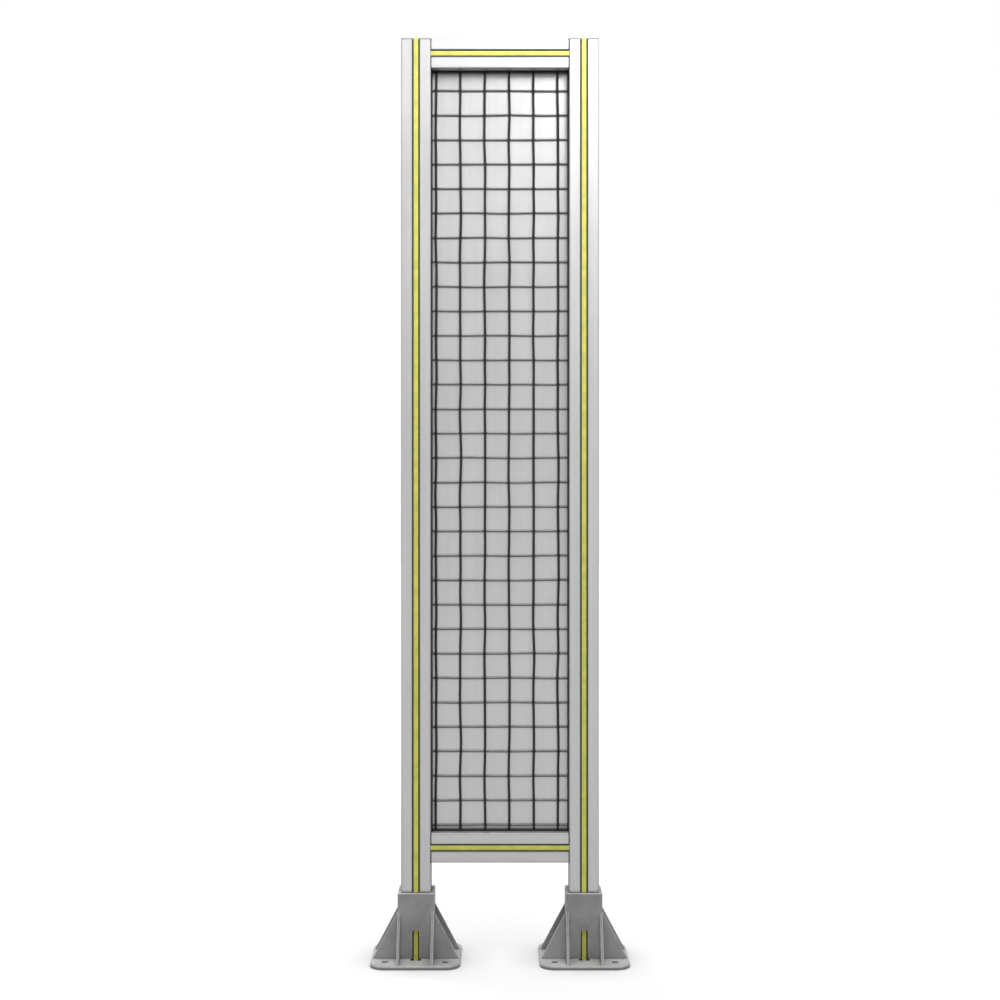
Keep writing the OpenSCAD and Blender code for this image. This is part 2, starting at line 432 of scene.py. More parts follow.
class Effects:
    """Node groups that more than one finish uses, each built once."""

    def __init__(self) -> None:
        """Builds every group."""
        self.drawn_lines = self._drawn_lines()
        self.mottle = self._mottle()
        self.seam_shade = self._seam_grime()
        self.edge_shade_and_wear = self._worn_edge()
        self.dust_and_top_light_tree = self._settled_dust()
        self.fine_skin = self._fine_skin()
        self.facing = self._facing()
        self.slot_gap_shade = self._slot_line()

    @staticmethod
    def _group(
        name: str, inputs: dict[str, tuple[str, Optional[Feed]]], outputs: dict[str, str]
    ) -> tuple[Wiring, bpy.types.NodeOutputs, bpy.types.NodeInputs]:
        """Makes an empty group with its sockets.

        Args:
            name: The group's name.
            inputs: Each input's kind and its plain value.
            outputs: Each output's kind.
        Returns:
            The wiring, the sockets that the group reads and the sockets that it fills.
        """
        tree = bpy.data.node_groups.new(name, "ShaderNodeTree")
        for label, (kind, value) in inputs.items():
            socket = tree.interface.new_socket(name=label, in_out="INPUT", socket_type="NodeSocket" + kind)
            if value is not None:
                socket.default_value = value
        for label, kind in outputs.items():
            tree.interface.new_socket(name=label, in_out="OUTPUT", socket_type="NodeSocket" + kind)
        wiring = Wiring(tree)
        return wiring, wiring.add("NodeGroupInput").outputs, wiring.add("NodeGroupOutput").inputs

    def _drawn_lines(self) -> bpy.types.NodeTree:
        """Builds lines that run along a piece, as drawing and rolling leave them, from 0 to 1.

        Returns:
            The group's tree.
        """
        wiring, into, out = self._group(
            "drawn lines",
            {
                "Vector": ("Vector", None),
                "Across": ("Vector", (1.0, 1.0, 0.01)),
                "Broad": ("Float", 160.0),
                "Fine": ("Float", 1400.0),
            },
            {"Lines": "Float", "Height": "Float"},
        )
        along = wiring.vector("MULTIPLY", into["Vector"], into["Across"]).outputs[0]
        broad = wiring.noise(along, into["Broad"], 2.0)
        fine = wiring.noise(along, into["Fine"], 3.0, 0.65)
        both = wiring.weigh(broad, 0.6, fine)
        wiring.link(wiring.spread(both, 0.3, 0.7), out["Lines"])
        wiring.link(fine, out["Height"])
        return wiring.tree

    def _mottle(self) -> bpy.types.NodeTree:
        """Builds soft patches of two sizes, from 0 to 1.

        Returns:
            The group's tree.
        """
        wiring, into, out = self._group(
            "mottle",
            {"Vector": ("Vector", None), "Large": ("Float", 4.0), "Small": ("Float", 40.0)},
            {"Patches": "Float"},
        )
        large = wiring.noise(into["Vector"], into["Large"], 3.0)
        small = wiring.noise(into["Vector"], into["Small"], 4.0, 0.6)
        both = wiring.weigh(large, 0.65, small)
        wiring.link(wiring.spread(both, 0.32, 0.68), out["Patches"])
        return wiring.tree

    def _seam_grime(self) -> bpy.types.NodeTree:
        """Builds painted shade in seams and inner corners from ambient occlusion, uneven along them, from 0
        to 1.

        Returns:
            The group's tree.
        """
        wiring, into, out = self._group(
            "seam grime",
            {
                "Vector": ("Vector", None),
                "Reach": ("Float", 0.003),
                "Start": ("Float", 0.05),
                "Full": ("Float", 0.6),
            },
            {"Mask": "Float"},
        )
        shade = wiring.add("ShaderNodeAmbientOcclusion", {"Distance": into["Reach"]}, samples=8).outputs["AO"]
        closed = wiring.math("SUBTRACT", 1.0, shade)
        patchy = wiring.spread(wiring.noise(into["Vector"], 55.0, 3.0), 0.25, 0.75, 0.75, 1.0)
        mask = wiring.math("MULTIPLY", wiring.spread(closed, into["Start"], into["Full"]), patchy)
        wiring.link(mask, out["Mask"])
        return wiring.tree

    def _worn_edge(self) -> bpy.types.NodeTree:
        """Builds the line along a piece's outer edges, whole for painted edge shade and broken up for rubbed
        wear, from 0 to 1.

        Returns:
            The group's tree.
        """
        wiring, into, out = self._group(
            "worn edge",
            {
                "Vector": ("Vector", None),
                "Reach": ("Float", 0.0015),
                "Breaks": ("Float", 90.0),
                "Cover": ("Float", 0.5),
            },
            {"Line": "Float", "Rubbed": "Float"},
        )
        inward = wiring.add(
            "ShaderNodeAmbientOcclusion", {"Distance": into["Reach"]}, samples=8, inside=True, only_local=True
        )
        line = wiring.spread(wiring.math("SUBTRACT", 1.0, inward.outputs["AO"]), 0.06, 0.34)
        rubbing = wiring.noise(into["Vector"], into["Breaks"], 5.0, 0.65)
        edge = wiring.math("SUBTRACT", 1.0, into["Cover"])
        above = wiring.spread(rubbing, wiring.math("SUBTRACT", edge, 0.15), wiring.math("ADD", edge, 0.15))
        wiring.link(line, out["Line"])
        wiring.link(wiring.math("MULTIPLY", line, above), out["Rubbed"])
        return wiring.tree

    def _settled_dust(self) -> bpy.types.NodeTree:
        """Builds the mask of faces that look up, for settled dust and painted top light, from 0 to 1.

        Returns:
            The group's tree.
        """
        wiring, into, out = self._group(
            "settled dust",
            {
                "Vector": ("Vector", None),
                "Patches": ("Float", 24.0),
                "Steep": ("Float", 0.35),
                "Level": ("Float", 0.95),
            },
            {"Mask": "Float"},
        )
        flat = wiring.add("ShaderNodeNewGeometry").outputs["Normal"]
        rise = wiring.add("ShaderNodeSeparateXYZ", {0: flat}).outputs["Z"]
        lying = wiring.spread(rise, into["Steep"], into["Level"])
        cloudy = wiring.spread(wiring.noise(into["Vector"], into["Patches"], 5.0, 0.6), 0.3, 0.7, 0.35, 1.0)
        wiring.link(wiring.math("MULTIPLY", lying, cloudy), out["Mask"])
        return wiring.tree

    def _fine_skin(self) -> bpy.types.NodeTree:
        """Builds the height of a coated or cast skin, with dimples and a finer grit.

        Returns:
            The group's tree.
        """
        wiring, into, out = self._group(
            "fine skin",
            {
                "Vector": ("Vector", None),
                "Dimples": ("Float", 420.0),
                "Grit": ("Float", 2200.0),
                "Grit Share": ("Float", 0.3),
            },
            {"Height": "Float"},
        )
        feeds = {"Vector": into["Vector"], "Scale": into["Dimples"], "Smoothness": 1.0}
        dimples = wiring.add("ShaderNodeTexVoronoi", feeds, feature="SMOOTH_F1").outputs["Distance"]
        grit = wiring.noise(into["Vector"], into["Grit"], 2.0)
        share = wiring.math("MULTIPLY", grit, into["Grit Share"])
        wiring.link(wiring.math("ADD", dimples, share), out["Height"])
        return wiring.tree

    def _facing(self) -> bpy.types.NodeTree:
        """Builds a mask of the faces that look along a direction, either way.

        Returns:
            The group's tree.
        """
        upwards = (0.0, 0.0, 1.0)
        wiring, into, out = self._group("facing", {"Direction": ("Vector", upwards)}, {"Mask": "Float"})
        flat = wiring.add("ShaderNodeNewGeometry").outputs["Normal"]
        along = wiring.slant(flat, into["Direction"])
        wiring.link(wiring.spread(along, 0.9, 0.97), out["Mask"])
        return wiring.tree

    def _slot_line(self) -> bpy.types.NodeTree:
        """Builds the thin line of painted shade in the gaps along both edges of a profile's slots, from 0 to
        1.

        Returns:
            The group's tree.
        """
        wiring, into, out = self._group(
            "slot line",
            {
                "Vector": ("Vector", None),
                "Middle": ("Vector", (0.0, 0.0, 0.0)),
                "Cross": ("Vector", (1.0, 0.0, 0.0)),
                "Edge": ("Float", 0.0053),
                "Width": ("Float", 0.0012),
                "Breaks": ("Float", 70.0),
            },
            {"Mask": "Float"},
        )
        mirrored = wiring.vector("ABSOLUTE", into["Vector"]).outputs[0]
        offset = wiring.vector("SUBTRACT", mirrored, into["Middle"]).outputs[0]
        flat = wiring.add("ShaderNodeNewGeometry").outputs["Normal"]
        faces_cross = wiring.slant(flat, into["Cross"])
        sideways = wiring.slant(offset, into["Cross"])
        depth = wiring.math("ABSOLUTE", wiring.add("ShaderNodeSeparateXYZ", {0: into["Vector"]}).outputs["Y"])
        turned = wiring.math("GREATER_THAN", faces_cross, 0.7)
        away = wiring.add("ShaderNodeMix", {0: turned, 2: sideways, 3: depth}, data_type="FLOAT").outputs[0]
        beyond = wiring.math("SUBTRACT", away, into["Edge"])
        patchy = wiring.spread(wiring.noise(into["Vector"], into["Breaks"], 3.0), 0.25, 0.75, 0.8, 1.0)
        near = wiring.spread(beyond, 0.0, into["Width"], 1.0, 0.0)
        wiring.link(wiring.math("MULTIPLY", near, patchy), out["Mask"])
        return wiring.tree

    def lines(
        self,
        wiring: Wiring,
        where: Feed,
        run: Run,
        stretch: float,
        broad: float = 160.0,
        fine: float = 1400.0,
    ) -> bpy.types.Node:
        """Places the drawn lines.

        Args:
            wiring: The material's wiring.
            where: The object coordinates.
            run: The direction that the lines follow.
            stretch: How much longer than wide they are.
            broad: How close the broad lines lie.
            fine: How close the fine lines lie.
        Returns:
            The group node, with its Lines and its Height.
        """
        feeds = {"Vector": where, "Across": across(run, stretch), "Broad": broad, "Fine": fine}
        return wiring.effect(self.drawn_lines, feeds)

    def patches(self, wiring: Wiring, where: Feed, large: float, small: float) -> bpy.types.NodeSocket:
        """Places the mottle.

        Args:
            wiring: The material's wiring.
            where: The object coordinates.
            large: How close the large patches lie.
            small: How close the small patches lie.
        Returns:
            The patches.
        """
        feeds = {"Vector": where, "Large": large, "Small": small}
        return wiring.effect(self.mottle, feeds).outputs["Patches"]

    def painted_shade_mask(
        self, wiring: Wiring, where: Feed, reach: float, start: float, full: float
    ) -> bpy.types.NodeSocket:
        """Places the painted seam shade.

        Args:
            wiring: The material's wiring.
            where: The object coordinates.
            reach: How far from a seam it lies.
            start: How closed in a place is where it begins.
            full: How closed in a place is where it covers all.
        Returns:
            Its mask.
        """
        feeds = {"Vector": where, "Reach": reach, "Start": start, "Full": full}
        return wiring.effect(self.seam_shade, feeds).outputs["Mask"]

    def edge(self, wiring: Wiring, where: Feed, reach: float, cover: float = 0.5) -> bpy.types.Node:
        """Places the edge line, painted edge shade where whole and rubbed wear where broken up.

        Args:
            wiring: The material's wiring.
            where: The object coordinates.
            reach: How far from an edge it lies.
            cover: How much of the edge is rubbed.
        Returns:
            The group node, with its unbroken Line and its Rubbed stretches.
        """
        return wiring.effect(self.edge_shade_and_wear, {"Vector": where, "Reach": reach, "Cover": cover})

    def dust_and_top_light(
        self, wiring: Wiring, where: Feed, patches: float, steep: float = 0.35, level: float = 0.95
    ) -> bpy.types.NodeSocket:
        """Places the mask for settled dust and painted top light.

        Args:
            wiring: The material's wiring.
            where: The object coordinates.
            patches: How close its patches lie.
            steep: The rise of the normal where the mask begins.
            level: The rise of the normal where it lies fully.
        Returns:
            Its mask.
        """
        feeds = {"Vector": where, "Patches": patches, "Steep": steep, "Level": level}
        return wiring.effect(self.dust_and_top_light_tree, feeds).outputs["Mask"]

    def skin(
        self, wiring: Wiring, where: Feed, dimples: float, grit: float = 2200.0, share: float = 0.3
    ) -> bpy.types.NodeSocket:
        """Places the fine skin.

        Args:
            wiring: The material's wiring.
            where: The object coordinates.
            dimples: How close the dimples lie.
            grit: How close the grit lies.
            share: How high the grit stands beside the dimples.
        Returns:
            Its height.
        """
        feeds = {"Vector": where, "Dimples": dimples, "Grit": grit, "Grit Share": share}
        return wiring.effect(self.fine_skin, feeds).outputs["Height"]

    def slots(
        self, wiring: Wiring, where: Feed, run: Run, edge: float, width: float
    ) -> bpy.types.NodeSocket:
        """Places the painted slot shade for the slots of the posts or of the rails.

        Args:
            wiring: The material's wiring.
            where: The object coordinates.
            run: Posts are upright and rails level.
            edge: Distance from the slot's middle up to which the mask is 1.
            width: The distance over which it fades out.
        Returns:
            Its mask.
        """
        if run is Run.LEVEL:
            low, high = middle_of("rail_bottom", 2), middle_of("rail_top", 2)
            where = wiring.vector("SUBTRACT", where, (0.0, 0.0, (low + high) / 2)).outputs[0]
            middle, cross = (0.0, 0.0, (high - low) / 2), (0.0, 0.0, 1.0)
        else:
            middle, cross = (middle_of("post_right", 0), 0.0, 0.0), (1.0, 0.0, 0.0)
        feeds = {"Vector": where, "Middle": middle, "Cross": cross, "Edge": edge, "Width": width}
        return wiring.effect(self.slot_gap_shade, feeds).outputs["Mask"]


# ---------------------------------------------------------------- finishes


class Finish:
    """What every finish starts from: a material, its wiring and its shader."""

    @staticmethod
    def start(name: str) -> tuple[bpy.types.Material, Wiring, bpy.types.Node, bpy.types.NodeSocket]:
        """Makes an empty material with a Principled shader.

        Args:
            name: The material's name.
        Returns:
            The material, its wiring, the shader and the object coordinates.
        """
        material = bpy.data.materials.new(name)
        material.use_nodes = True
        material.node_tree.nodes.clear()
        wiring = Wiring(material.node_tree)
        shader = wiring.add("ShaderNodeBsdfPrincipled")
        wiring.add("ShaderNodeOutputMaterial", {"Surface": shader.outputs[0]})
        where = wiring.add("ShaderNodeTexCoord").outputs["Object"]
        return material, wiring, shader, where


@dataclass(frozen=True)
class SatinProfile:
    """Satin anodised extrusion with faint die lines, painted shade along its outer corners, in its seams and
    along its slots, and sawn ends.
    """

    run: Run
    pale: Colour = grey(0.492)
    deep: Colour = grey(0.428)
    cut: Colour = grey(0.42)
    corner_shade: Colour = grey(0.05, 0.02)
    painted_shade: Colour = grey(0.018, 0.06)
    metal: float = 0.85
    gloss: float = 0.40
    slot_edge: float = 0.0058
    line_width: float = 0.0008
    corner_reach: float = 0.0024
    corner_shade_cover: float = 0.85
    painted_shade_cover: float = 0.95
    relief: float = 0.18
    relief_height: float = 0.00006

    def build(self, effects: Effects) -> bpy.types.Material:
        """Wires the material.

        Args:
            effects: The shared node groups.
        Returns:
            The material.
        """
        material, wiring, shader, where = Finish.start(f"satin_profile_{self.run.name.lower()}")
        lines = effects.lines(wiring, where, self.run, stretch=90.0)
        patches = effects.patches(wiring, where, large=3.5, small=30.0)
        shade = wiring.weigh(lines.outputs["Lines"], 0.6, patches)
        ends = wiring.effect(effects.facing, {"Direction": self.run.value}).outputs["Mask"]
        feeds = {"Vector": where, "Scale": 160.0, "Distortion": 1.5, "Detail": 2.0}
        saw = wiring.add("ShaderNodeTexWave", feeds, bands_direction="Y").outputs["Fac"]
        body = wiring.blend(shade, self.deep, self.pale)
        bare = wiring.blend(ends, body, wiring.blend(saw, self.cut, self.pale))
        # Painted shade: a dark line along the outer corners, weaker on the sawn ends.
        corner = effects.edge(wiring, where, self.corner_reach).outputs["Line"]
        along_sides = wiring.math("SUBTRACT", 1.0, wiring.math("MULTIPLY", ends, 0.7))
        corner = wiring.math("MULTIPLY", corner, along_sides)
        corner_shaded = wiring.blend(wiring.math("MULTIPLY", corner, self.corner_shade_cover), bare, self.corner_shade)
        # Painted shade in seams, recesses and the slot gaps, from occlusion and the slot line; where it and
        # the corner shade lie, the metal is rougher and less metallic.
        seam = effects.painted_shade_mask(wiring, where, reach=0.007, start=0.12, full=0.50)
        line = effects.slots(wiring, where, self.run, self.slot_edge, self.line_width)
        painted_shade_mask = wiring.math("MAXIMUM", seam, line)
        colour = wiring.blend(wiring.math("MULTIPLY", painted_shade_mask, self.painted_shade_cover), corner_shaded, self.painted_shade)
        wiring.link(colour, shader.inputs["Base Color"])
        rough = wiring.math("MULTIPLY_ADD", shade, 0.08, self.gloss)
        dulled = wiring.math("MAXIMUM", painted_shade_mask, wiring.math("MULTIPLY", corner, 0.8))
        rougher = wiring.math("MULTIPLY_ADD", dulled, 0.4, wiring.math("MULTIPLY_ADD", ends, 0.12, rough))
        wiring.link(rougher, shader.inputs["Roughness"])
        unshaded = wiring.math("SUBTRACT", 1.0, dulled)
        wiring.link(wiring.math("MULTIPLY", unshaded, self.metal), shader.inputs["Metallic"])
        height = wiring.math("MULTIPLY_ADD", ends, saw, lines.outputs["Height"])
        wiring.roughen(shader, height, self.relief, self.relief_height)
        return material


@dataclass(frozen=True)
class CoverPlastic:
    """Pale yellow extruded plastic with faint lines, soft patches and painted shade along its edges and
    seams.
    """

    run: Run
    pale: Colour = (0.700, 0.695, 0.134, 1.0)
    deep: Colour = (0.640, 0.635, 0.116, 1.0)
    painted_shade: Colour = (0.022, 0.021, 0.012, 1.0)
    gloss: float = 0.36
    half_width: float = 0.0037
    line_width: float = 0.0002
    painted_shade_cover: float = 0.92
    relief: float = 0.25
    relief_height: float = 0.00008

    def build(self, effects: Effects) -> bpy.types.Material:
        """Wires the material.

        Args:
            effects: The shared node groups.
        Returns:
            The material.
        """
        material, wiring, shader, where = Finish.start(f"cover_plastic_{self.run.name.lower()}")
        lines = effects.lines(wiring, where, self.run, stretch=60.0, broad=220.0, fine=1800.0)
        patches = effects.patches(wiring, where, large=6.0, small=70.0)
        shade = wiring.weigh(lines.outputs["Lines"], 0.45, patches)
        body = wiring.blend(shade, self.deep, self.pale)
        # Painted shade in seams and on the flanks beside the crown, which lie in the slot gaps.
        seam = effects.painted_shade_mask(wiring, where, reach=0.002, start=0.10, full=0.50)
        clear = effects.slots(wiring, where, self.run, self.half_width - self.line_width, self.line_width)
        painted_shade_mask = wiring.math("MAXIMUM", seam, wiring.math("SUBTRACT", 1.0, clear))
        colour = wiring.blend(wiring.math("MULTIPLY", painted_shade_mask, self.painted_shade_cover), body, self.painted_shade)
        wiring.link(colour, shader.inputs["Base Color"])
        rough = wiring.math("MULTIPLY_ADD", shade, 0.10, self.gloss)
        wiring.link(wiring.math("MULTIPLY_ADD", painted_shade_mask, 0.25, rough), shader.inputs["Roughness"])
        wiring.roughen(shader, lines.outputs["Height"], self.relief, self.relief_height)
        return material


@dataclass(frozen=True)
class SealRubber:
    """Matt black rubber with a grey bloom and a fine skin."""

    black: Colour = grey(0.006)
    bloom: Colour = grey(0.018, 0.04)
    gloss: float = 0.62
    shine: float = 0.2
    relief: float = 0.3
    relief_height: float = 0.00006

    def build(self, effects: Effects) -> bpy.types.Material:
        """Wires the material.

        Args:
            effects: The shared node groups.
        Returns:
            The material.
        """
        material, wiring, shader, where = Finish.start("seal_rubber")
        shader.inputs["Specular IOR Level"].default_value = self.shine
        patches = effects.patches(wiring, where, large=18.0, small=140.0)
        # The bloom is greyer where the mask for settled dust and painted top light lies.
        dust_and_top_light = effects.dust_and_top_light(wiring, where, patches=60.0)
        dull = wiring.weigh(patches, 0.6, dust_and_top_light)
        wiring.link(wiring.blend(dull, self.black, self.bloom), shader.inputs["Base Color"])
        wiring.link(wiring.math("MULTIPLY_ADD", patches, 0.2, self.gloss), shader.inputs["Roughness"])
        skin = effects.skin(wiring, where, dimples=900.0, share=0.5)
        wiring.roughen(shader, skin, self.relief, self.relief_height)
        return material


@dataclass(frozen=True)
class CoatedWire:
    """Grey coated wire, paler on its upper side from settled dust and painted top light, with painted shade
    at the welds.
    """

    run: Run
    coat: Colour
    faded: Colour
    dust_and_top_light: Colour = grey(0.34, 0.03)
    painted_shade: Colour = grey(0.012)
    gloss: float = 0.42
    shine: float = 0.3
    dust_and_light_cover: float = 0.9
    relief: float = 0.3
    relief_height: float = 0.00008

    def build(self, effects: Effects) -> bpy.types.Material:
        """Wires the material.

        Args:
            effects: The shared node groups.
        Returns:
            The material.
        """
        material, wiring, shader, where = Finish.start(f"coated_wire_{self.run.name.lower()}")
        shader.inputs["Specular IOR Level"].default_value = self.shine
        patches = effects.patches(wiring, where, large=12.0, small=130.0)
        # Paler upper side: settled dust and painted top light; darker at the welds: painted shade from
        # occlusion.
        dust_and_top_light = effects.dust_and_top_light(wiring, where, patches=45.0, steep=0.05, level=0.75)
        painted_shade_mask = effects.painted_shade_mask(wiring, where, reach=0.002, start=0.25, full=0.8)
        body = wiring.blend(patches, self.coat, self.faded)
        dusted_and_lit = wiring.blend(wiring.math("MULTIPLY", dust_and_top_light, self.dust_and_light_cover), body, self.dust_and_top_light)
        wiring.link(wiring.blend(painted_shade_mask, dusted_and_lit, self.painted_shade), shader.inputs["Base Color"])
        rough = wiring.math("MULTIPLY_ADD", patches, 0.12, self.gloss)
        wiring.link(wiring.math("MULTIPLY_ADD", dust_and_top_light, 0.35, rough), shader.inputs["Roughness"])
        skin = effects.skin(wiring, where, dimples=1300.0, grit=3000.0)
        wiring.roughen(shader, skin, self.relief, self.relief_height)
        return material


@dataclass(frozen=True)
class RolledSheet:
    """Light sheet with an upright rolling grain, a soft, uneven sheen and painted shade where it meets the
    frame and the wires.
    """

    pale: Colour = grey(0.492)
    deep: Colour = grey(0.437)
    painted_shade: Colour = grey(0.06, 0.05)
    metal: float = 0.90
    gloss: float = 0.34
    painted_shade_cover: float = 0.6
    relief: float = 0.15
    relief_height: float = 0.00006

    def build(self, effects: Effects) -> bpy.types.Material:
        """Wires the material.

        Args:
            effects: The shared node groups.
        Returns:
            The material.
        """
        material, wiring, shader, where = Finish.start("rolled_sheet")
        lines = effects.lines(wiring, where, Run.UPRIGHT, stretch=40.0, broad=120.0, fine=1100.0)
        patches = effects.patches(wiring, where, large=5.0, small=45.0)
        shade = wiring.weigh(lines.outputs["Lines"], 0.5, patches)
        # Painted shade where the sheet meets the gaskets and lies behind the wires, from occlusion.
        painted_shade_mask = effects.painted_shade_mask(wiring, where, reach=0.003, start=0.15, full=0.8)
        covered = wiring.math("MULTIPLY", painted_shade_mask, self.painted_shade_cover)
        body = wiring.blend(shade, self.deep, self.pale)
        wiring.link(wiring.blend(covered, body, self.painted_shade), shader.inputs["Base Color"])
        rough = wiring.math("MULTIPLY_ADD", shade, 0.08, self.gloss)
        wiring.link(wiring.math("MULTIPLY_ADD", painted_shade_mask, 0.2, rough), shader.inputs["Roughness"])
        unshaded = wiring.math("SUBTRACT", 1.0, covered)
        wiring.link(wiring.math("MULTIPLY", unshaded, self.metal), shader.inputs["Metallic"])
        wiring.roughen(shader, lines.outputs["Height"], self.relief, self.relief_height)
        return material


@dataclass(frozen=True)
class CastSkin:
    """Grey coated casting with a dimpled skin, rubbed edges, tops paler from settled dust and painted top
    light, and painted shade in its corners.
    """

    coat: Colour = grey(0.280)
    patch: Colour = grey(0.205)
    rubbed: Colour = grey(0.48)
    dust_and_top_light: Colour = grey(0.44, 0.02)
    painted_shade: Colour = grey(0.05, 0.06)
    gloss: float = 0.46
    dust_and_light_cover: float = 0.75
    edge_cover: float = 0.8
    painted_shade_cover: float = 0.8
    relief: float = 0.6
    relief_height: float = 0.00035

    def build(self, effects: Effects) -> bpy.types.Material:
        """Wires the material.

        Args:
            effects: The shared node groups.
        Returns:
            The material.
        """
        material, wiring, shader, where = Finish.start("cast_skin")
        patches = effects.patches(wiring, where, large=14.0, small=90.0)
        edge = effects.edge(wiring, where, reach=0.0020, cover=0.6).outputs["Rubbed"]
        # Paler tops: settled dust and painted top light; darker corners: painted shade from occlusion.
        dust_and_top_light = effects.dust_and_top_light(wiring, where, patches=30.0)
        painted_shade_mask = effects.painted_shade_mask(wiring, where, reach=0.007, start=0.12, full=0.75)
        body = wiring.blend(patches, self.patch, self.coat)
        dusted_and_lit = wiring.blend(wiring.math("MULTIPLY", dust_and_top_light, self.dust_and_light_cover), body, self.dust_and_top_light)
        worn = wiring.blend(wiring.math("MULTIPLY", edge, self.edge_cover), dusted_and_lit, self.rubbed)
        colour = wiring.blend(wiring.math("MULTIPLY", painted_shade_mask, self.painted_shade_cover), worn, self.painted_shade)
        wiring.link(colour, shader.inputs["Base Color"])
        rough = wiring.math("MULTIPLY_ADD", dust_and_top_light, 0.2, wiring.math("MULTIPLY_ADD", patches, 0.1, self.gloss))
        wiring.link(wiring.math("MULTIPLY_ADD", painted_shade_mask, 0.2, rough), shader.inputs["Roughness"])
        skin = effects.skin(wiring, where, dimples=480.0, grit=1500.0, share=0.4)
        wiring.roughen(shader, skin, self.relief, self.relief_height)
        return material


@dataclass(frozen=True)
class ZincPlate:
    """Zinc plated steel with a fine grain, dull patches and painted shade in its seams."""

    bright: Colour = grey(0.58, -0.01)
    dull: Colour = grey(0.40, -0.01)
    painted_shade: Colour = grey(0.05)
    gloss: float = 0.28
    painted_shade_cover: float = 0.8
    relief: float = 0.2
    relief_height: float = 0.00004

    def build(self, effects: Effects) -> bpy.types.Material:
        """Wires the material.

        Args:
            effects: The shared node groups.
        Returns:
            The material.
        """
        material, wiring, shader, where = Finish.start("zinc_plate")
        patches = effects.patches(wiring, where, large=60.0, small=420.0)
        # Painted shade in seams and recesses, from occlusion.
        painted_shade_mask = effects.painted_shade_mask(wiring, where, reach=0.0025, start=0.15, full=0.7)
        body = wiring.blend(patches, self.dull, self.bright)
        colour = wiring.blend(wiring.math("MULTIPLY", painted_shade_mask, self.painted_shade_cover), body, self.painted_shade)
        wiring.link(colour, shader.inputs["Base Color"])
        rough = wiring.math("MULTIPLY_ADD", patches, 0.14, self.gloss)
        wiring.link(wiring.math("MULTIPLY_ADD", painted_shade_mask, 0.3, rough), shader.inputs["Roughness"])
        unshaded = wiring.math("SUBTRACT", 1.0, wiring.math("MULTIPLY", painted_shade_mask, 0.7))
        wiring.link(unshaded, shader.inputs["Metallic"])
        skin = effects.skin(wiring, where, dimples=1600.0, grit=4000.0)
        wiring.roughen(shader, skin, self.relief, self.relief_height)
        return material


def dress(piece: bpy.types.Object, material: bpy.types.Material) -> None:
    """Gives a piece one finish all over.

    Args:
        piece: A CAD node or a modelled piece.
        material: The finish.
    """
    if not piece.data.materials:
        piece.data.materials.append(material)
    for place in piece.material_slots:
        place.material = material


def hand_over(piece: bpy.types.Object, slot: str, *nodes: str) -> None:
    """Puts a finished piece in the frame in place of CAD nodes.

    Args:
        piece: The finished piece.
        slot: The record's material slot; not used.
        nodes: The CAD nodes that it stands for.
    """
    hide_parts(*nodes)
    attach(piece, "root")


# ---------------------------------------------------------------- the panel's pieces


